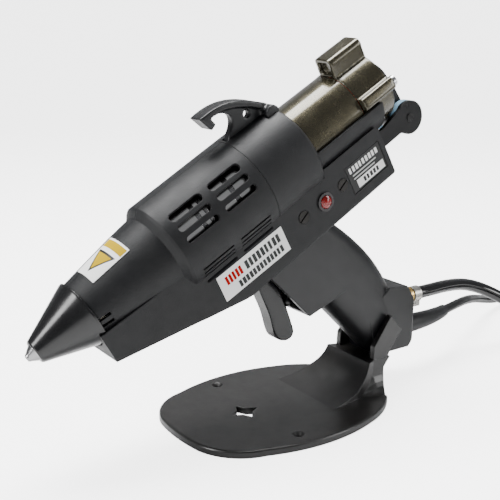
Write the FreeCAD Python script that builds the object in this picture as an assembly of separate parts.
import FreeCAD, Part
import math
import os

# Pneumatic hot-melt glue gun for 43 mm slugs, parked in its bench stand.
# World frame: +Z up, nozzle towards -X, origin on the bench midway between the stand's two screw holes.
# Gun frame: t runs forward along the barrel from the joint line, n is up from the barrel axis.

V = FreeCAD.Vector
Y_AXIS = V(0, 1, 0)
Z_AXIS = V(0, 0, 1)

# ---- driving dimensions (mm, degrees) ----
PITCH = 29.3                # barrel nose-down angle in the stand
AXIS_X = -10.15             # where the joint line crosses the barrel axis
AXIS_Z = 167.8
GAP = 0.3                   # clearance between pieces that move apart
FIT = 0.06                  # radial running clearance of pins

TUBE_R = 26.0               # outside of the glue chamber tube
SLUG_BORE_R = 22.25         # bore that takes a 43 mm slug
MELT_BORE_R = SLUG_BORE_R + 0.75    # a softened slug spreads a little in the heated zone
TUBE_REAR = 92.0            # length of tube behind the joint line
SLEEVE_R = TUBE_R + 8.0
SLEEVE_LEN = 42.5
BARREL_R = 33.5             # vented barrel, at its front shoulder
VENT_END = 72.0
SHOULDER_END = 77.0
NOSE_R = 21.1
NOSE_END = 134.5
WALL = 2.6
PANEL_Y = TUBE_R + 1.0  # half width across the flat side panels
KEEL_N = -55.0              # underside of the lower body
KEEL_FRONT = NOSE_END + 5.0
KEEL_REAR = 98.0
PANEL_TOP = -14.5
CRADLE_R = TUBE_R + 0.7
CRADLE_WALL = 2.1
CRADLE_END = 108.0
CRADLE_ANGLE = 94.0

CONE_BASE_R = 22.7
CONE_TIP_R = 8.0
CONE_TIP = NOSE_END + 38.5
NOZZLE_TIP = NOSE_END + 44.3
NOZZLE_BORE_R = 1.6

CAP_FRONT = 92.4
CAP_LEN = 30.0
CAP_R = TUBE_R + 0.2
CAP_BORE_R = 20.0
LOBE_TURN = 5.0
TOP_LOBE_R = 39.0
TOP_LOBE_HALF = 8.3
SIDE_LOBE_R = 31.0
SIDE_LOBE_HALF = 4.6
SIDE_LOBE_ANGLE = 75.0

PIN_T = -132.0              # cap hinge pin
PIN_N = -TUBE_R - 5.0
PIN_R = 3.0
KNUCKLE_R = 12.0
BRACKET_Y = 17.0
BRACKET_WALL = 3.0

GRIP_FRONT = 90.9           # grip front plane, across the handle axis
GRIP_HALF = 16.0
GRIP_WALL = 3.0
BUTT_Z = 27.6               # underside of the butt, above the bench
BOSS_REAR = 141.0
BOSS_HALF = 15.5
GUARD_HALF = 16.0
GUARD_FRONT = 75.5
GUARD_WALL = 4.0

TRIGGER_HALF = 6.5
TRIGGER_PIVOT = (20.5, -49.5)
TRIGGER_PIN_R = 1.5
VALVE_S = -38.0
VALVE_R = 6.5
PLUNGER_R = 4.0
PLUNGER_TIP = 71.5
VALVE_FRONT = 82.0
VALVE_BACK = 108.0

PLATE_T = 5.0
SCREW_SPACING = 100.0
SCREW_HOLE_R = 2.25
STAND_WALL = 4.2
SOCKET_GAP = 0.7
FOLD_X = 44.5

HOSE_R = 5.0
HOSE_Y = -3.0
HOSE_Z = 64.0
LEAD_R = 3.75
LEAD_Z = 39.0
LEAD_Y = 0.0
HOSE_COIL_R = 55.0
LEAD_COIL_R = 41.0

GUN = FreeCAD.Placement(V(AXIS_X, 0, AXIS_Z), FreeCAD.Rotation(Y_AXIS, -PITCH))


# ---- helpers ----
def placed(shape):
    out = shape.copy()
    out.Placement = GUN.multiply(out.Placement)
    return out


def gun_point(t, n, y=0.0):
    return GUN.multVec(V(-t, y, n))


def grip_point(s, q, y=0.0):
    # s runs down the 45 degree handle axis, q runs across it, rearward and up
    return V((s + q) / math.sqrt(2), y, (q - s) / math.sqrt(2))


def prism(points, direction):
    wire = Part.makePolygon(points + [points[0]])
    return Part.Face(wire).extrude(direction)


def side_prism(outline, low_y, high_y):
    # outline of (t, n) points in the gun frame
    return prism([V(-t, low_y, n) for t, n in outline], V(0, high_y - low_y, 0))


def bench_prism(outline, low_y, high_y):
    # outline of (x, z) points in the world frame
    return prism([V(x, low_y, z) for x, z in outline], V(0, high_y - low_y, 0))


def grip_prism(outline, low_y, high_y):
    return prism([grip_point(s, q, low_y) for s, q in outline], V(0, high_y - low_y, 0))


def turned(profile):
    # profile of (t, r) points, spun about the barrel axis
    wire = Part.makePolygon([V(-t, 0, r) for t, r in profile + [profile[0]]])
    return Part.Face(wire).revolve(V(0, 0, 0), V(1, 0, 0), 360)


def ring(t_low, t_high, r_in, r_out):
    return turned([(t_low, r_in), (t_high, r_in), (t_high, r_out), (t_low, r_out)])


def rod(t_low, t_high, radius, n=0.0, y=0.0):
    return Part.makeCylinder(radius, t_high - t_low, V(-t_high, y, n), V(1, 0, 0))


def cross_rod(t, n, low_y, high_y, radius):
    return Part.makeCylinder(radius, high_y - low_y, V(-t, low_y, n), Y_AXIS)


def grip_rod(s, q_low, q_high, radius, y=0.0):
    direction = grip_point(0, 1).normalize()
    return Part.makeCylinder(radius, q_high - q_low, grip_point(s, q_low, y), direction)


def about_barrel(shape, angle):
    # positive angle turns the top towards the left side of the gun (-Y)
    out = shape.copy()
    out.rotate(V(0, 0, 0), V(1, 0, 0), angle)
    return out


def joined(shapes):
    return shapes[0].multiFuse(shapes[1:]).removeSplitter()


def half(shape, side):
    size = 400
    low = -size if side < 0 else 0
    box = Part.makeBox(2 * size, size, 2 * size, V(-size, low, -size))
    return shape.common(box)


def write(name, shape):
    shape.exportStep("parts/" + name + ".step")
    print(name, "solids", len(shape.Solids), "valid", shape.isValid(), "cm3", round(shape.Volume / 1000, 2))


# ---- lower body and barrel shells ----
def keel(inset):
    top = -8.0
    bottom = KEEL_N + inset
    outline = [
        (KEEL_FRONT - inset, top),
        (KEEL_FRONT - inset, -29.0 + inset),
        (82.9, -42.6 + inset),
        (39.4, bottom),
        (-KEEL_REAR + inset, bottom),
        (-KEEL_REAR + inset, -17.5),
        (-KEEL_REAR + 3.0, PANEL_TOP - inset),
        (-SLEEVE_LEN - GAP, PANEL_TOP - inset),
        (-SLEEVE_LEN - GAP, -20.0),
        (GAP - inset, -20.0),
        (GAP - inset, top),
    ]
    side = side_prism(outline, -60, 60)
    half_width = PANEL_Y - inset
    nose_half = NOSE_R + 0.6 - inset
    plan = [
        (-KEEL_REAR, half_width),
        (SHOULDER_END, half_width),
        (KEEL_FRONT, nose_half),
        (KEEL_FRONT, -nose_half),
        (SHOULDER_END, -half_width),
        (-KEEL_REAR, -half_width),
    ]
    plan_solid = prism([V(-t, y, -80) for t, y in plan], V(0, 0, 100))
    return side.common(plan_solid)


def rounded_keel():
    body = keel(0.0)
    long_edges = []
    for edge in body.Edges:
        box = edge.BoundBox
        low = box.ZMax < KEEL_N + 0.1
        side_on = min(abs(box.YMin), abs(box.YMax)) > PANEL_Y - 0.1
        if low and side_on:
            long_edges.append(edge)
    return body.makeFillet(3.0, long_edges)


def barrel_profile(inset, front):
    return [
        (GAP, 0),
        (GAP, SLEEVE_R - inset),
        (VENT_END, BARREL_R - inset),
        (VENT_END + 1.6, BARREL_R - 1.2 - inset),
        (SHOULDER_END, 28.5 - inset),
        (95.0, 26.6 - inset),
        (front, NOSE_R - inset),
        (front, 0),
    ]


def vent_slot(t_low, t_high, angle, width):
    body = Part.makeBox(t_high - t_low - width, width, 14, V(-t_high + width / 2, -width / 2, 28))
    ends = []
    for t in (t_low + width / 2, t_high - width / 2):
        ends.append(Part.makeCylinder(width / 2, 14, V(-t, 0, 28), Z_AXIS))
    return about_barrel(joined([body] + ends), angle)


def vents():
    wide = [(42.0, 6.0), (56.5, 4.6), (71.0, 4.4)]
    narrow = [(111.5, 1.5), (118.0, 1.5), (124.5, 1.5), (131.0, 1.5)]
    cuts = []
    for t_low, t_high in ((7.5, 33.5), (39.5, 65.5)):
        for angle, width in wide + narrow:
            for side in (1, -1):
                cuts.append(vent_slot(t_low, t_high, side * angle, width))
    for angle in (88.0, 101.0):
        slot = Part.makeBox(8.5, 2.0, 10, V(-NOSE_END - 0.5, -1.0, 16))
        for side in (1, -1):
            cuts.append(about_barrel(slot, side * angle))
    return cuts


def cradle():
    pipe = ring(-CRADLE_END, -SLEEVE_LEN - GAP, CRADLE_R, CRADLE_R + CRADLE_WALL)
    top = CRADLE_R * math.cos(math.radians(CRADLE_ANGLE))
    keep = Part.makeBox(200, 120, 60, V(-20, -60, top - 60))
    return pipe.common(keep)


def housing():
    outer = joined([rounded_keel(), turned(barrel_profile(0, NOSE_END)), cradle()])
    inner = joined([keel(WALL), turned(barrel_profile(WALL, NOSE_END - 1.0))])
    inner = inner.cut(cradle())
    tube_way = rod(-CRADLE_END - 1, 1.0, CRADLE_R)
    cone_way = turned([
        (NOSE_END, 0), (NOSE_END, CONE_BASE_R + 0.6), (NOSE_END + 2.2, CONE_BASE_R + 0.6),
        (CONE_TIP, CONE_TIP_R + 0.6), (CONE_TIP, 0),
    ])
    nose_hole = rod(NOSE_END - 5, NOSE_END + 1, 15.0)
    trigger_slot = side_prism([(3.0, -70), (36.0, -70), (36.0, -45), (3.0, -45)], -7.3, 7.3)
    wire_slot = side_prism([(-40.0, -70), (-8.0, -70), (-8.0, -45), (-40.0, -45)], -9.0, 9.0)
    shell = outer.cut([inner, tube_way, cone_way, nose_hole, trigger_slot, wire_slot] + vents())
    y_face = -PANEL_Y
    for t, n in SCREW_PLACES:
        shell = shell.cut(cross_rod(t, n, y_face - 1, y_face + 1.4, 4.6))
        shell = shell.cut(cross_rod(t, n, y_face - 1, y_face + 5, 2.1))
    shell = shell.cut(cross_rod(LAMP[0], LAMP[1], y_face - 1, y_face + 5, 5.4))
    shell = shell.cut(side_prism(grown(PLATE_OUTLINE, 0.5), y_face - 1, y_face + 0.9))
    slot_low = BRACKET_Y - 0.2
    slot_high = BRACKET_Y + BRACKET_WALL + 0.2
    for low, high in ((slot_low, slot_high), (-slot_high, -slot_low)):
        window = side_prism([(-90.0, -37.0), (-90.0, -TUBE_R + 2.4), (-110.0, -TUBE_R + 2.4), (-110.0, -37.0)],
                            low, high)
        shell = shell.cut(window)
    return shell


SCREW_PLACES = [(-16.2, -33.1), (-53.8, -33.5)]
LAMP = (-35.9, -34.5)
PLATE_OUTLINE = [(-60.3, -25.2), (-93.4, -24.7), (-93.4, -45.1), (-60.3, -45.6)]
LABEL_OUTLINE = [(59.6, -25.4), (2.5, -26.4), (3.0, -45.1), (60.6, -44.0)]


def grown(outline, extra):
    t_mid = sum(p[0] for p in outline) / len(outline)
    n_mid = sum(p[1] for p in outline) / len(outline)
    return [(t + math.copysign(extra, t - t_mid), n + math.copysign(extra, n - n_mid)) for t, n in outline]


def rear_sleeve():
    rear = -SLEEVE_LEN
    body = turned([
        (0, CRADLE_R), (0, SLEEVE_R), (rear + 2.0, SLEEVE_R), (rear + 0.6, SLEEVE_R - 0.6),
        (rear, SLEEVE_R - 2.0), (rear, CRADLE_R),
    ])
    below = Part.makeBox(200, 120, 60, V(-60, -60, -80 + 0.1))
    body = body.cut(below)
    low, high = CRADLE_R + 0.7, SLEEVE_R + 6
    left, right = -HOOK_BOSS_HALF - 0.5, HOOK_BOSS_HALF + 2.0
    pocket = side_prism([(-SLEEVE_LEN - 1, low), (-SLEEVE_LEN - 1, high), (-32.2, high), (-32.2, low)],
                        left, right)
    low = SLEEVE_R - 3.4
    foot = side_prism([(-1.6, low), (-33.0, low), (-33.0, high), (-1.6, high)], -3.4, 3.4)
    return body.cut([pocket, foot])


# ---- hanging hook ----
HOOK_BOSS = (-38.0, SLEEVE_R - 1.0)
HOOK_BOSS_R = 5.2
HOOK_BOSS_HALF = 10.2
HOOK_WEB_HALF = 3.0
HOOK_FLANGE_HALF = 6.5
EYE = (-23.7, SLEEVE_R + 6.6)
EYE_R = 2.5


def spline_face(points, straight, low_y):
    # closed outline: a curve through points, then straight runs through the rest
    curve = Part.BSplineCurve()
    curve.interpolate([V(-t, low_y, n) for t, n in points])
    corners = [points[-1]] + straight + [points[0]]
    edges = [curve.toShape()]
    for a, b in zip(corners, corners[1:]):
        edges.append(Part.LineSegment(V(-a[0], low_y, a[1]), V(-b[0], low_y, b[1])).toShape())
    return Part.Face(Part.Wire(edges))


def raised(points):
    return [(t, SLEEVE_R + rise) for t, rise in points]


def hanging_hook():
    # heights are from the top of the rear sleeve
    crest = raised([(9.6, 24.2), (1.5, 24.6), (-8.0, 23.6), (-18.0, 20.2), (-27.0, 15.0), (-36.0, 7.6)])
    inside = raised([(-35.5, 2.6), (-26.0, 10.6), (-17.5, 15.6), (-8.5, 19.2), (0.5, 20.3), (5.6, 19.0)])
    flange_face = spline_face(crest, inside, -HOOK_FLANGE_HALF)
    flange = flange_face.extrude(V(0, 2 * HOOK_FLANGE_HALF, 0))
    nose = side_prism(raised([(9.8, 24.2), (5.4, 13.2), (0.8, 15.0), (2.2, 19.6), (3.5, 24.5)]),
                      -HOOK_FLANGE_HALF, HOOK_FLANGE_HALF)
    inner_edge = raised([(-1.8, 19.6), (-9.0, 16.4), (-12.2, 13.0), (-11.6, 8.0), (-7.6, 3.6), (-2.2, -2.8)])
    web_face = spline_face(inner_edge, raised([(-38.0, -2.8), (-38.0, 4.0), (-27.0, 13.0), (-15.0, 19.0)]),
                           -HOOK_WEB_HALF)
    web = web_face.extrude(V(0, 2 * HOOK_WEB_HALF, 0))
    boss = cross_rod(HOOK_BOSS[0], HOOK_BOSS[1], -HOOK_BOSS_HALF, HOOK_BOSS_HALF, HOOK_BOSS_R)
    cheek = side_prism(raised([(-34.0, 6.5), (-34.2, -2.0), (-41.0, -3.0), (-41.6, 2.0), (-38.0, 6.4)]),
                       -5.0, 5.0)
    body = joined([flange, nose, web, boss, cheek])
    eye = cross_rod(EYE[0], EYE[1], -10, 10, EYE_R)
    screw_way = cross_rod(HOOK_BOSS[0], HOOK_BOSS[1], -7.0, HOOK_BOSS_HALF + 1, 1.6)
    return body.cut([eye, screw_way])


def hook_screw():
    face = HOOK_BOSS_HALF + 0.1
    shank = cross_rod(HOOK_BOSS[0], HOOK_BOSS[1], -6.8, face + 0.1, 1.5)
    head = cross_rod(HOOK_BOSS[0], HOOK_BOSS[1], face, face + 1.2, 2.6)
    return shank.fuse(head)


# ---- nozzle, melt chamber and chamber tube ----
def nozzle_cone():
    wall = 2.4
    outer = [
        (NOSE_END + 0.2, CONE_BASE_R - 1.0), (NOSE_END + 0.7, CONE_BASE_R),
        (NOSE_END + 2.0, CONE_BASE_R - 0.2), (CONE_TIP - 0.8, CONE_TIP_R), (CONE_TIP, CONE_TIP_R - 0.7),
    ]
    inner = [
        (CONE_TIP, CONE_TIP_R - 1.5), (CONE_TIP - 5.0, CONE_TIP_R - 1.5),
        (NOSE_END + 2.0, CONE_BASE_R - wall), (NOSE_END + 0.2, CONE_BASE_R - wall),
    ]
    return turned(outer + inner)


def nozzle():
    bore = NOZZLE_BORE_R
    body = turned([
        (NOSE_END - 18.1, bore), (NOSE_END - 18.1, 4.95), (NOSE_END - 6.3, 4.95), (NOSE_END - 6.3, 10.0),
        (NOSE_END + 1.5, 10.0), (NOSE_END + 3.5, 6.0), (NOSE_END + 31.5, 6.0), (NOSE_END + 34.0, 6.3),
        (NOSE_END + 38.1, 6.3), (NOSE_END + 42.9, 2.9), (NOSE_END + 43.9, 2.4), (NOZZLE_TIP, bore + 0.3),
        (NOZZLE_TIP, bore),
    ])
    flats = [Part.makeBox(8.5, 30, 8, V(-NOSE_END - 2.1, -15, 8.7))]
    cuts = []
    for k in range(6):
        cuts.append(about_barrel(flats[0], 60.0 * k))
    return body.cut(cuts)


def insulation_ring():
    return ring(NOSE_END - 5.5, NOSE_END - 1.9, 10.4, 16.0)


def melt_chamber():
    return turned([
        (0.3, MELT_BORE_R), (0.3, 30.4), (4.0, 30.4), (4.0, 26.0), (0.52 * NOSE_END, 26.0),
        (0.58 * NOSE_END, 22.6), (0.706 * NOSE_END, 20.6), (NOSE_END - 6.5, 15.0), (NOSE_END - 6.5, 5.05),
        (NOSE_END - 18.5, 5.05), (NOSE_END - 18.5, 4.0), (NOSE_END - 24.5, 4.0),
        (0.446 * NOSE_END, MELT_BORE_R),
    ])


def heater_bands():
    bands = []
    for t_low, t_high in ((8.0, 18.0), (22.0, 31.5), (38.0, 41.0), (43.5, 46.5), (50.0, 66.0)):
        bands.append(ring(t_low, t_high, 26.1, 28.2))
    return Part.makeCompound(bands)


def chamber_tube():
    return ring(-TUBE_REAR, 0.2, SLUG_BORE_R, TUBE_R)


def thermostat():
    can = Part.makeCylinder(7.0, 7.0, V(-60.0, 0, -41.0), Z_AXIS)
    foot = Part.makeBox(22, 11, 1.2, V(-71.0, -5.5, -34.0))
    terminals = [Part.makeBox(0.8, 5, 4, V(-60.4, y, -44.6)) for y in (-6.0, 1.0)]
    return joined([can, foot] + terminals)


def thermal_fuse():
    return rod(88.0, 102.0, 2.4, -29.0, 8.0)


def control_board():
    board = side_prism([(14.0, -49.0), (-36.0, -49.0), (-36.0, -47.4), (14.0, -47.4)], 10.0, 23.0)
    parts = [
        Part.makeBox(12, 9, 6, V(-12, 12, -47.4)),
        Part.makeBox(8, 8, 9, V(20, 13, -47.4)),
        Part.makeCylinder(3.6, 9, V(6, 17, -47.4), Z_AXIS),
    ]
    return joined([board] + parts)


def terminal_block():
    body = Part.makeBox(24, 12, 9, V(62.0, -2.0, -51.6))
    cuts = [Part.makeCylinder(1.6, 6, V(66.0 + 8.0 * k, 4.0, -47.0), Z_AXIS) for k in range(3)]
    return body.cut(cuts)


# ---- side panel fittings ----
def panel_screws():
    screws = []
    for t, n in SCREW_PLACES:
        head = cross_rod(t, n, -PANEL_Y - 0.3, -PANEL_Y + 1.4, 4.35)
        shank = cross_rod(t, n, -PANEL_Y + 1.4, -PANEL_Y + 14.0, 1.9)
        slot = Part.makeBox(12, 1.3, 1.1, V(-6, -1.3, -0.55))
        slot.rotate(V(0, 0, 0), Y_AXIS, -18)
        slot.translate(V(-t, -PANEL_Y + 0.7, n))
        screws.append(head.fuse(shank).cut(slot))
    return Part.makeCompound(screws)


def lamp_bezel():
    rim = cross_rod(LAMP[0], LAMP[1], -PANEL_Y - 1.1, -PANEL_Y, 6.6)
    barrel = cross_rod(LAMP[0], LAMP[1], -PANEL_Y, -PANEL_Y + 4.6, 5.3)
    hole = cross_rod(LAMP[0], LAMP[1], -PANEL_Y - 2, -PANEL_Y + 6, 4.7)
    return rim.fuse(barrel).cut(hole)


def lamp_lens():
    lens = cross_rod(LAMP[0], LAMP[1], -PANEL_Y - 0.6, -PANEL_Y + 3.0, 4.6)
    dome = Part.makeSphere(6.2, V(-LAMP[0], -PANEL_Y + 3.2, LAMP[1]))
    dome = dome.common(cross_rod(LAMP[0], LAMP[1], -PANEL_Y - 5, -PANEL_Y - 0.5, 4.6))
    return lens.fuse(dome)


def lamp_body():
    return cross_rod(LAMP[0], LAMP[1], -PANEL_Y + 3.1, -PANEL_Y + 16.0, 4.5)


def side_label():
    return side_prism(LABEL_OUTLINE, -PANEL_Y - 0.3, -PANEL_Y - 0.02)


def rating_plate():
    return side_prism(PLATE_OUTLINE, -PANEL_Y + 0.2, -PANEL_Y + 0.88)


def hazard_label():
    t_low, t_high = 94.6, NOSE_END - 10.9
    slope = (26.6 - NOSE_R) / (NOSE_END - 95.0)
    r_low = 26.6 - slope * (t_low - 95.0) + 0.1
    r_high = 26.6 - slope * (t_high - 95.0) + 0.1
    skin = turned([(t_low, r_low), (t_high, r_high), (t_high, r_high + 0.3), (t_low, r_low + 0.3)])
    reach = 60.0
    spread = [(-12.0), (11.5), (34.5)]
    fan = [V(0, 0, 0)]
    for angle in spread:
        a = math.radians(angle)
        fan.append(V(0, -reach * math.sin(a), reach * math.cos(a)))
    wedge = prism(fan, V(-200, 0, 0))
    return skin.common(wedge)


# ---- handle ----
GRIP_SECTIONS = [
    (-92.0, 130.0, 15.6), (-60.0, 137.0, 16.0), (-31.0, 141.8, 16.2), (-5.0, 143.2, 16.2),
    (18.0, 140.5, 16.0), (38.0, 135.5, 15.8), (58.0, 130.0, 15.6),
]


def grip_loft(inset):
    loops = []
    power = 2.0 / 2.7
    for s, rear, half_width in GRIP_SECTIONS:
        mid = (GRIP_FRONT + rear) / 2
        across = (rear - GRIP_FRONT) / 2 - inset
        wide = half_width - inset
        points = []
        for k in range(24):
            a = 2 * math.pi * k / 24
            c, d = math.cos(a), math.sin(a)
            q = mid + across * math.copysign(abs(c) ** power, c)
            y = wide * math.copysign(abs(d) ** power, d)
            points.append(grip_point(s, q, y))
        curve = Part.BSplineCurve()
        curve.interpolate(points, PeriodicFlag=True)
        loops.append(Part.Wire([curve.toShape()]))
    return Part.makeLoft(loops, True, False)


def butt_boss(inset):
    outline = [
        (101.2 + inset, BUTT_Z + inset), (133.5, BUTT_Z + inset), (BOSS_REAR - inset, 35.5),
        (BOSS_REAR - 0.6 - inset, 62.0), (130.0, 77.0 - inset), (112.0, 78.5 - inset), (92.0, 60.0),
    ]
    side = bench_prism(outline, -40, 40)
    half_width = BOSS_HALF - inset
    corner = 6.0
    plan = Part.makeBox(BOSS_REAR - inset - 60, 2 * half_width, 100, V(60, -half_width, 0))
    upright = [e for e in plan.Edges if e.BoundBox.ZLength > 50 and e.BoundBox.XMin > 100]
    return side.common(plan.makeFillet(corner - inset, upright))


def guard_block(inset):
    low = -25.5 - inset
    outline = [
        (-95.0, GUARD_FRONT), (low, GUARD_FRONT), (-17.5 - inset, 92.9), (-8.7 - inset, 114.8),
        (-40.0, 118.0), (-95.0, 118.0),
    ]
    return grip_prism(outline, -GUARD_HALF + inset, GUARD_HALF - inset)


def under_keel():
    return placed(side_prism([(60, KEEL_N - 0.1), (60, -250), (-140, -250), (-140, KEEL_N - 0.1)], -60, 60))


def handle():
    above_butt = Part.makeBox(400, 100, 300, V(-100, -50, BUTT_Z))
    outer = joined([grip_loft(0.0), butt_boss(0.0), guard_block(0.0)])
    outer = outer.common(above_butt).common(under_keel())
    hollow_low = -29.0
    trigger_bay = grip_prism([(-100.0, 60.0), (hollow_low, 60.0), (hollow_low, 97.0), (-100.0, 97.0)],
                             -GUARD_HALF + GUARD_WALL, GUARD_HALF - GUARD_WALL)
    cavity = grip_loft(GRIP_WALL)
    floor = Part.makeBox(400, 100, 300, V(-100, -50, BUTT_Z + GRIP_WALL))
    cavity = joined([cavity.common(floor), butt_boss(GRIP_WALL)])
    lead_hole = Part.makeCylinder(5.2, 30, V(BOSS_REAR - 15, LEAD_Y, LEAD_Z), V(1, 0, 0))
    hose_hole = Part.makeCylinder(4.1, 30, V(BOSS_REAR - 15, HOSE_Y, HOSE_Z), V(1, 0, 0))
    body = outer.cut([trigger_bay, cavity, lead_hole, hose_hole])
    for s, q in HANDLE_SCREWS:
        centre = grip_point(s, q)
        body = body.cut(Part.makeCylinder(1.6, 20, V(centre.x, 1.0, centre.z), Y_AXIS))
        body = body.cut(Part.makeCylinder(3.2, 10, V(centre.x, GRIP_HALF - 2.4, centre.z), Y_AXIS))
    return body


HANDLE_SCREWS = [(-61.0, 112.0), (-8.0, 124.0), (34.0, 118.0)]


def handle_screws():
    screws = []
    for s, q in HANDLE_SCREWS:
        centre = grip_point(s, q)
        shank = Part.makeCylinder(1.5, 11, V(centre.x, GRIP_HALF - 13, centre.z), Y_AXIS)
        head = Part.makeCylinder(3.0, 1.6, V(centre.x, GRIP_HALF - 2.3, centre.z), Y_AXIS)
        slot = Part.makeBox(8, 1.0, 0.9, V(centre.x - 4, GRIP_HALF - 1.2, centre.z - 0.45))
        screws.append(shank.fuse(head).cut(slot))
    return Part.makeCompound(screws)


# ---- trigger and air valve ----
def trigger():
    front = [(27.0, -50.0), (27.6, -64.0), (28.6, -76.0), (30.2, -92.0), (33.0, -105.2), (32.6, -110.6),
             (29.2, -114.8), (24.0, -116.9), (20.2, -115.4), (18.0, -110.0), (16.4, -100.0), (14.4, -86.0),
             (13.6, -74.8), (14.0, -50.0)]
    side_face = spline_face(front, [(16.0, -45.0), (24.5, -45.0)], -TRIGGER_HALF)
    body = side_face.extrude(V(0, 2 * TRIGGER_HALF, 0))
    pivot = cross_rod(TRIGGER_PIVOT[0], TRIGGER_PIVOT[1], -10, 10, TRIGGER_PIN_R + FIT)
    return body.cut(pivot)


def trigger_pin():
    reach = PANEL_Y - WALL - 0.05
    return cross_rod(TRIGGER_PIVOT[0], TRIGGER_PIVOT[1], -reach, reach, TRIGGER_PIN_R)


def valve_body():
    body = grip_rod(VALVE_S, VALVE_FRONT, VALVE_BACK, VALVE_R)
    collar = grip_rod(VALVE_S, VALVE_FRONT + 6, VALVE_FRONT + 10, VALVE_R + 1.5)
    body = body.fuse(collar).cut(grip_rod(VALVE_S, VALVE_FRONT - 1, VALVE_BACK - 12, PLUNGER_R + FIT))
    return body


def valve_plunger():
    dome = Part.makeSphere(PLUNGER_R, grip_point(VALVE_S, PLUNGER_TIP + PLUNGER_R))
    stem = grip_rod(VALVE_S, PLUNGER_TIP + PLUNGER_R, VALVE_FRONT + 5.5, PLUNGER_R)
    return joined([dome, stem])


def valve_spring():
    coil = grip_rod(VALVE_S, VALVE_FRONT + 5.6, VALVE_BACK - 12.1, PLUNGER_R - 0.3)
    return coil.cut(grip_rod(VALVE_S, VALVE_FRONT + 5, VALVE_BACK - 11, PLUNGER_R - 1.6))


def air_pipe():
    # from the hose fitting up the grip to the valve, in straight runs with rounded bends
    radius = 2.2
    points = [V(BOSS_REAR - 14.4, HOSE_Y, HOSE_Z), V(BOSS_REAR - 26, HOSE_Y, HOSE_Z),
              grip_point(6, 131, HOSE_Y), grip_point(VALVE_S + 12, 129, -1.5), grip_point(VALVE_S, VALVE_BACK + 13, 0),
              grip_point(VALVE_S, VALVE_BACK + 0.1, 0)]
    return tube(points, radius, 1.0)


# ---- soft tubes: straight runs joined by tangent arcs ----
def route(points, smallest):
    edges = []
    start = points[0]
    radii = []
    for before, corner, after in zip(points, points[1:], points[2:]):
        u = (before - corner)
        v = (after - corner)
        shorter = min(u.Length, v.Length)
        u.normalize()
        v.normalize()
        turn = math.pi - u.getAngle(v)
        trim = 0.45 * shorter
        radius = trim / math.tan(turn / 2)
        radii.append(radius)
        first = corner + u * trim
        last = corner + v * trim
        centre_way = (u + v).normalize()
        centre = corner + centre_way * math.hypot(trim, radius)
        middle = centre - centre_way * radius
        edges.append(Part.LineSegment(start, first).toShape())
        edges.append(Part.Arc(first, middle, last).toShape())
        start = last
    edges.append(Part.LineSegment(start, points[-1]).toShape())
    print("radii", [round(r) for r in radii], "smallest", round(min(radii), 1), "allowed", smallest)
    return Part.Wire(edges)


def tube(points, radius, allowed):
    path = route(points, allowed)
    direction = (points[1] - points[0]).normalize()
    circle = Part.Wire([Part.makeCircle(radius, points[0], direction)])
    solid = path.makePipeShell([circle], True, False)
    expected = math.pi * radius ** 2 * path.Length
    print("tube length", round(path.Length, 1), "volume ratio", round(solid.Volume / expected, 4))
    return solid


# ---- hose barb, clamp, strain relief, cords ----
RELIEF_POINTS = [V(BOSS_REAR, LEAD_Y, LEAD_Z), V(BOSS_REAR + 20, LEAD_Y + 1.2, LEAD_Z - 0.6),
                 V(BOSS_REAR + 39, LEAD_Y + 4.6, LEAD_Z - 1.4),
                 V(BOSS_REAR + 57, LEAD_Y + 10.0, LEAD_Z - 1.9)]
HOSE_START = V(BOSS_REAR + 3.4, HOSE_Y, HOSE_Z)

LEAD_POINTS = [
    RELIEF_POINTS[-1], V(219, 16.3, 36.5), V(244, 27, 33.2), V(270, 39.5, 26.4), V(296, 51.5, 17.5),
    V(324, 61.4, 9.5), V(356, 67.2, 5.7), V(388, 68.4, LEAD_R + 1.2),
]
HOSE_POINTS = [
    HOSE_START, V(166, HOSE_Y, HOSE_Z), V(190, 1.0, 62.5), V(214, 4.5, 59.0), V(236, 3.5, 51.5),
    V(256, -3.5, 40.5), V(272, -13, 28.5), V(287, -21.5, 17.5), V(304, -26.3, 9.9),
    V(322, -27.5, HOSE_R + 1.2),
]
TIE = 1.0
BESIDE = 0.6                # air between a cord and the coil that it runs beside
# rings of turns, two layers deep: middle radius, width of the turns side by side, height
LEAD_RING = (LEAD_COIL_R, 8 * LEAD_R, 4 * LEAD_R)
HOSE_RING = (HOSE_COIL_R, 6 * HOSE_R, 4 * HOSE_R)


def coil_place(entry, ring_size, radius):
    # the ring lies beside the end of its cord, which passes it in line with its first turn
    return (entry.x, entry.y - ring_size[0] - ring_size[1] / 2 - radius - BESIDE)


LEAD_COIL = coil_place(LEAD_POINTS[-1], LEAD_RING, LEAD_R)
HOSE_COIL = coil_place(HOSE_POINTS[-1], HOSE_RING, HOSE_R)


def hose_barb():
    collar = Part.makeCylinder(6.4, 3.3, V(BOSS_REAR + 0.05, HOSE_Y, HOSE_Z), V(1, 0, 0))
    thread = Part.makeCylinder(4.0, 14.6, V(BOSS_REAR - 14.2, HOSE_Y, HOSE_Z), V(1, 0, 0))
    return collar.fuse(thread)


def hose_clamp():
    start = V(HOSE_START.x + 1.6, HOSE_Y, HOSE_Z - 0.1)
    direction = (HOSE_POINTS[1] - HOSE_POINTS[0]).normalize()
    band = Part.makeCylinder(HOSE_R + 1.2, 7.0, start, direction)
    ear = Part.makeBox(7.0, 7.0, 4.5, V(start.x, start.y - 3.5, start.z - HOSE_R - 4.2))
    clear = Part.makeCylinder(HOSE_R + 0.25, 12, V(HOSE_START.x, HOSE_Y, HOSE_Z), direction)
    return band.fuse(ear).cut(clear)


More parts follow.
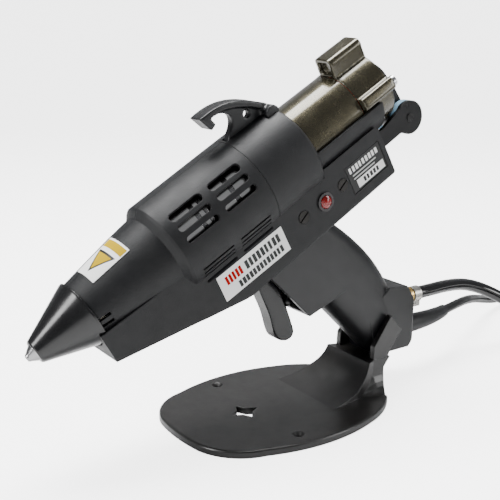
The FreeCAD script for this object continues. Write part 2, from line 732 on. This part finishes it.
def strain_relief():
    radii = [7.6, 6.9, 6.0, 4.9]
    loops = []
    for k, (centre, radius) in enumerate(zip(RELIEF_POINTS, radii)):
        ahead = RELIEF_POINTS[min(k + 1, 3)]
        behind = RELIEF_POINTS[max(k - 1, 0)]
        direction = (ahead - behind).normalize() if k else V(1, 0, 0)
        loops.append(Part.Wire([Part.makeCircle(radius, centre, direction)]))
    sleeve = Part.makeLoft(loops, True, False)
    gland = Part.makeCylinder(5.1, 12, V(BOSS_REAR - 12, LEAD_Y, LEAD_Z), V(1, 0, 0))
    return gland.fuse(sleeve)


def mains_lead():
    return tube(LEAD_POINTS, LEAD_R, 5 * 2 * LEAD_R)


def air_hose():
    return tube(HOSE_POINTS, HOSE_R, 5 * 2 * HOSE_R)


def coil(place, mid_radius, width, height):
    centre = V(place[0], place[1], TIE + 0.05)
    outer = Part.makeCylinder(mid_radius + width / 2, height, centre)
    return outer.cut(Part.makeCylinder(mid_radius - width / 2, height, centre))


def mains_lead_coil():
    return coil(LEAD_COIL, *LEAD_RING)


def air_hose_coil():
    return coil(HOSE_COIL, *HOSE_RING)


def coil_ties():
    ties = []
    strap = 8.0
    for place, ring_size in ((LEAD_COIL, LEAD_RING), (HOSE_COIL, HOSE_RING)):
        mid_radius, width, height = ring_size
        for turn in (-75, 200):
            reach = mid_radius
            gap_x = width / 2 + 0.6
            gap_z = height + 0.1
            outer = Part.makeBox(2 * (gap_x + TIE), strap, gap_z + 2 * TIE,
                                 V(reach - gap_x - TIE, -strap / 2, 0))
            inner = Part.makeBox(2 * gap_x, strap + 2, gap_z, V(reach - gap_x, -strap / 2 - 1, TIE))
            loop = outer.cut(inner)
            loop.rotate(V(0, 0, 0), Z_AXIS, turn)
            loop.translate(V(place[0], place[1], 0))
            ties.append(loop)
    return Part.makeCompound(ties)


def tail_points(place, ring_size, radius, end_z):
    # leaves the top layer of the ring, and comes down to the piece at its end in an easy double bend
    x = place[0] + ring_size[0] + ring_size[1] / 2 + radius + BESIDE
    top = TIE + 0.05 + ring_size[2] - radius
    y = place[1] - 6
    return [V(x, y, top), V(x, y - TAIL_END, top), V(x, y - TAIL + TAIL_END, end_z), V(x, y - TAIL, end_z)]


TAIL = 66.0
TAIL_END = 21.0
PLUG_Z = TIE + 0.1 + LEAD_R + 0.35
COUPLING_Z = 7.1
LEAD_TAIL = tail_points(LEAD_COIL, LEAD_RING, LEAD_R, PLUG_Z)
HOSE_TAIL = tail_points(HOSE_COIL, HOSE_RING, HOSE_R, COUPLING_Z)


def mains_lead_tail():
    return tube(LEAD_TAIL, LEAD_R, 5 * 2 * LEAD_R)


def air_hose_tail():
    return tube(HOSE_TAIL, HOSE_R, 5 * 2 * HOSE_R)


# ---- cap and hinge ----
def lobe(radius, half_width, angle, low=12.0):
    box = Part.makeBox(CAP_LEN, 2 * half_width, radius - low, V(CAP_FRONT, -half_width, low))
    ridge = [e for e in box.Edges if e.BoundBox.XLength > CAP_LEN - 1 and e.BoundBox.ZMin > radius - 1]
    corner = min(3.4, half_width * 0.5)
    return about_barrel(box.makeFillet(corner, ridge), angle)


def end_cap():
    rear = -CAP_FRONT - CAP_LEN
    body = turned([(-CAP_FRONT, 0), (-CAP_FRONT, CAP_R - 0.6), (-CAP_FRONT - 0.8, CAP_R),
                   (rear + 0.8, CAP_R), (rear, CAP_R - 0.8), (rear, 0)])
    lobes = [lobe(TOP_LOBE_R, TOP_LOBE_HALF, LOBE_TURN)]
    for side in (1, -1):
        lobes.append(lobe(SIDE_LOBE_R, SIDE_LOBE_HALF, LOBE_TURN + side * SIDE_LOBE_ANGLE))
    body = joined([body] + lobes)
    bore = rod(-CAP_FRONT - 22.0, -CAP_FRONT + 1, CAP_BORE_R)
    seal_groove = ring(-CAP_FRONT - 2.2, -CAP_FRONT + 1, CAP_BORE_R - 1, 25.0)
    stud_way = rod(rear - 1, rear + 20, 4.0 + FIT)
    front_notch = Part.makeBox(4.5, 9.6, 9.0, V(CAP_FRONT - 1, -4.8, TUBE_R + 1.2))
    cuts = [bore, seal_groove, stud_way, about_barrel(front_notch, LOBE_TURN)]
    for angle, radius in bolt_places():
        cuts.append(about_barrel(rod(rear - 1, rear + 12, 2.1, radius), angle))
    return body.cut(cuts)


def bolt_places():
    places = [(LOBE_TURN, TOP_LOBE_R - 6.4)]
    for side in (1, -1):
        places.append((LOBE_TURN + side * SIDE_LOBE_ANGLE, SIDE_LOBE_R - 4.6))
    return places


def cap_bolts():
    rear = -CAP_FRONT - CAP_LEN
    bolts = []
    for angle, radius in bolt_places():
        shank = rod(rear, rear + 11.5, 2.0, radius)
        head = rod(rear - 2.8, rear, 3.8, radius)
        socket = rod(rear - 3.5, rear - 1.2, 1.7, radius)
        bolts.append(about_barrel(shank.fuse(head).cut(socket), angle))
    return Part.makeCompound(bolts)


def cap_seal():
    return ring(-CAP_FRONT - 2.1, -CAP_FRONT - 0.1, CAP_BORE_R + 0.2, 24.9)


def cap_arm():
    rear = -CAP_FRONT - CAP_LEN
    knuckle = cross_rod(PIN_T, PIN_N, -11.5, 11.5, KNUCKLE_R - 3.5)
    web = side_prism([(rear - 4.0, 8.0), (rear - 4.0, -24.0), (PIN_T + 4.0, PIN_N),
                      (PIN_T - 8.0, PIN_N + 3.0), (PIN_T - 6.0, -12.0), (rear - 9.5, 8.0)], -8.0, 8.0)
    hub = rod(rear - 9.0, rear - 4.0, 13.0)
    stud = rod(rear - 6.0, rear + 14.0, 4.0)
    pin_way = cross_rod(PIN_T, PIN_N, -20, 20, PIN_R + FIT)
    clear = rod(rear - 0.4, rear + 40, CAP_R + 1).cut(rod(rear - 1, rear + 41, 4.5))
    return joined([knuckle, web, hub, stud]).cut([pin_way, clear])


def stud_nut():
    rear = -CAP_FRONT - CAP_LEN
    return ring(rear + 8.4, rear + 12.4, 4.0, 8.0)


def hinge_washers():
    washers = []
    for low, high in ((-BRACKET_Y + 0.3, -11.9), (11.9, BRACKET_Y - 0.3)):
        body = cross_rod(PIN_T, PIN_N, low, high, KNUCKLE_R)
        washers.append(body.cut(cross_rod(PIN_T, PIN_N, low - 1, high + 1, PIN_R + 0.02)))
    return Part.makeCompound(washers)


def hinge_bracket(side):
    low = BRACKET_Y if side > 0 else -BRACKET_Y - BRACKET_WALL
    high = low + BRACKET_WALL
    disc = cross_rod(PIN_T, PIN_N, low, high, KNUCKLE_R)
    arm = side_prism([(-92.0, -36.4), (-92.0, -TUBE_R + 2), (-108.0, -TUBE_R + 2), (PIN_T + 4, PIN_N + 10.8),
                      (PIN_T, PIN_N), (PIN_T + 10.5, -36.4)], low, high)
    body = disc.fuse(arm).removeSplitter()
    return body.cut(cross_rod(PIN_T, PIN_N, low - 1, high + 1, PIN_R + 0.02))


def hinge_pin():
    reach = BRACKET_Y + BRACKET_WALL
    shank = cross_rod(PIN_T, PIN_N, -reach - 0.6, reach + 0.6, PIN_R)
    return shank


# ---- stand ----
def plate_edge(z):
    def arc(a, b, c):
        return Part.Arc(V(a[0], a[1], z), V(b[0], b[1], z), V(c[0], c[1], z)).toShape()
    rear, hip, side, front = (93.0, 37.0), (58.0, 57.6), (-30.0, 55.6), (-63.0, 24.0)
    edges = [
        arc(rear, (77.0, 49.6), hip), arc(hip, (14.0, 64.3), side), arc(side, (-52.5, 43.5), front),
        arc(front, (-65.0, 0), (front[0], -front[1])),
        arc((front[0], -front[1]), (-52.5, -43.5), (side[0], -side[1])),
        arc((side[0], -side[1]), (14.0, -64.3), (hip[0], -hip[1])),
        arc((hip[0], -hip[1]), (77.0, -49.6), (rear[0], -rear[1])),
        Part.LineSegment(V(rear[0], -rear[1], z), V(rear[0], rear[1], z)).toShape(),
    ]
    return Part.Face(Part.Wire(edges))


def ramp_plan(inset, height):
    points = [(FOLD_X + inset, 34.0 - inset), (70.0, 30.5 - inset), (92.0, 21.9 - inset),
              (125.0, 21.9 - inset)]
    outline = points + [(x, -y) for x, y in reversed(points)]
    return prism([V(x, y, -1) for x, y in outline], V(0, 0, height))


def star_hole():
    points = []
    for k in range(8):
        radius = 11.0 if k % 2 == 0 else 5.4
        a = math.pi * k / 4
        points.append(V(-9.5 + radius * math.cos(a), radius * math.sin(a), -1))
    return prism(points, V(0, 0, PLATE_T + 2))


def stand_skirt(side, foot):
    # a concave flank that carries the foot of a flange out to the plate's rear corner
    start, corner, end, inner = 70.0, 92.0, 102.3, foot - 2.5
    rises = [(36.0, 0.0), (foot + 10.0, 1.0), (foot + 6.0, 2.8), (foot + 3.2, 5.8), (foot + 1.3, 10.0),
             (foot, 17.0), (inner, 17.0)]

    def outline(x, share):
        top = [V(x, side * y, PLATE_T - 0.3 + share * rise) for y, rise in rises]
        points = top + [V(x, side * inner, 0), V(x, side * rises[0][0], 0)]
        return Part.makePolygon(points + [points[0]])
    run_up = Part.makeLoft([outline(start, 0.0), outline(corner, 1.0)], True, True)
    rear = Part.Face(outline(corner, 1.0)).extrude(V(end - corner, 0, 0))
    plan = [(corner - 1, 36.0), (corner, 36.0), (end, foot + 0.6), (end, inner), (corner - 1, inner)]
    rear = rear.common(prism([V(x, side * y, -1) for x, y in plan], V(0, 0, 60)))
    return [run_up, rear]


def stand():
    plate = plate_edge(0).extrude(V(0, 0, PLATE_T))
    rims = [e for e in plate.Edges if e.BoundBox.ZMin > PLATE_T - 0.1]
    plate = plate.makeFillet(1.6, rims)
    half_width = GRIP_HALF + SOCKET_GAP + 0.5
    seat = BUTT_Z - GAP
    # the ramp leaves the fold in one smooth curve and ends in the seat under the butt
    curve = [(FOLD_X, PLATE_T), (62.0, 8.0), (74.0, 12.8), (81.5, 19.0), (86.0, seat)]
    below = [(108.5, seat), (102.6, 20.0), (102.0, 8.0), (104.0, 3.0), (FOLD_X, PLATE_T - 1)]
    side = spline_face([(-x, z) for x, z in curve], [(-x, z) for x, z in below], -40).extrude(V(0, 80, 0))
    ramp = side.common(ramp_plan(0.0, 80))
    under = bench_prism([(FOLD_X + 12, -1), (FOLD_X + 12, 2.0), (74.0, 6.0), (83.0, 10.0), (88.0, 16.0),
                         (98.0, 18.0), (97.6, -1)], -40, 40).common(ramp_plan(STAND_WALL, 80))
    flange_line = [(88.0, 3.0), (92.0, 22.0), (93.0, 37.5), (108.7, 58.9), (120.5, 46.4), (108.8, 31.5),
                   (102.6, 20.0), (102.0, 8.0), (104.0, 3.0)]
    flanges = []
    for low in (half_width, -half_width - STAND_WALL):
        flanges.append(bench_prism(flange_line, low, low + STAND_WALL))
    foot = half_width + STAND_WALL
    flanges += stand_skirt(1, foot) + stand_skirt(-1, foot)
    body = joined([plate, ramp] + flanges)
    socket = Part.makeBox(60, 2 * half_width, 60, V(80, -half_width, seat))
    body = body.cut(socket)
    cuts = [under, star_hole()]
    for side_y in (-SCREW_SPACING / 2, SCREW_SPACING / 2):
        cuts.append(Part.makeCylinder(SCREW_HOLE_R, 20, V(0, side_y, -5)))
        cuts.append(Part.makeCone(SCREW_HOLE_R, 4.3, 2.1, V(0, side_y, PLATE_T - 2.05)))
    return body.cut(cuts)


# ---- cord ends ----
def mains_plug():
    start = LEAD_TAIL[-1]
    y_face = start.y - 0.02
    neck = Part.makeCylinder(4.9, 12, V(start.x, y_face, PLUG_Z), V(0, -1, 0))
    nose = prism([V(start.x - 4.6, y_face - 6, PLUG_Z - 5.2), V(start.x + 4.6, y_face - 6, PLUG_Z - 5.2),
                  V(start.x + 16, y_face - 24, PLUG_Z - 5.2), V(start.x - 16, y_face - 24, PLUG_Z - 5.2)],
                 V(0, 0, 11.4))
    body = Part.makeBox(32, 22, 11.4, V(start.x - 16, y_face - 46, PLUG_Z - 5.2))
    corners = [e for e in body.Edges if e.BoundBox.ZLength > 10 and e.BoundBox.YMax < y_face - 40]
    body = body.makeFillet(2.5, corners)
    pins = [Part.makeCylinder(2.0, 20, V(start.x + x, y_face - 45, PLUG_Z), V(0, -1, 0)) for x in (-9.5, 9.5)]
    return joined([neck, nose, body] + pins)


def hose_coupling():
    start = HOSE_TAIL[-1]
    y_face = start.y - 0.02
    z = start.z
    steps = [(0.0, 11.0, 5.9), (11.0, 15.0, 7.0), (15.0, 23.0, 5.6), (23.0, 29.0, 3.9), (29.0, 31.0, 4.7),
             (31.0, 37.0, 3.9)]
    body = [Part.makeCylinder(r, b - a, V(start.x, y_face - a, z), V(0, -1, 0)) for a, b, r in steps]
    return joined(body).cut(Part.makeCylinder(2.6, 60, V(start.x, y_face - 4, z), V(0, -1, 0)))


def main():
    os.makedirs("parts", exist_ok=True)
    shell = placed(housing())
    write("housing_left", half(shell, -1))
    write("housing_right", half(shell, 1))
    grip = handle()
    write("handle_left", half(grip, -1))
    write("handle_right", half(grip, 1))
    gun_pieces = {
        "rear_sleeve": rear_sleeve, "hanging_hook": hanging_hook, "hook_screw": hook_screw,
        "nozzle_cone": nozzle_cone, "nozzle": nozzle, "insulation_ring": insulation_ring,
        "melt_chamber": melt_chamber, "heater_bands": heater_bands, "chamber_tube": chamber_tube,
        "thermostat": thermostat, "thermal_fuse": thermal_fuse, "control_board": control_board,
        "panel_screws": panel_screws, "lamp_bezel": lamp_bezel, "lamp_lens": lamp_lens,
        "lamp_body": lamp_body, "side_label": side_label, "rating_plate": rating_plate,
        "hazard_label": hazard_label, "terminal_block": terminal_block, "trigger": trigger,
        "trigger_pin": trigger_pin, "end_cap": end_cap, "cap_bolts": cap_bolts, "cap_seal": cap_seal,
        "cap_arm": cap_arm, "stud_nut": stud_nut, "hinge_washers": hinge_washers, "hinge_pin": hinge_pin,
    }
    for name, maker in gun_pieces.items():
        write(name, placed(maker()))
    write("hinge_bracket_left", placed(hinge_bracket(-1)))
    write("hinge_bracket_right", placed(hinge_bracket(1)))
    bench_pieces = {
        "stand": stand, "handle_screws": handle_screws, "valve_body": valve_body,
        "valve_plunger": valve_plunger, "valve_spring": valve_spring, "air_pipe": air_pipe,
        "hose_barb": hose_barb, "hose_clamp": hose_clamp, "strain_relief": strain_relief,
        "mains_lead_coil": mains_lead_coil, "air_hose_coil": air_hose_coil, "coil_ties": coil_ties,
        "mains_lead_tail": mains_lead_tail, "air_hose_tail": air_hose_tail,
        "mains_lead": mains_lead, "air_hose": air_hose, "mains_plug": mains_plug,
        "hose_coupling": hose_coupling,
    }
    for name, maker in bench_pieces.items():
        write(name, maker())


main()
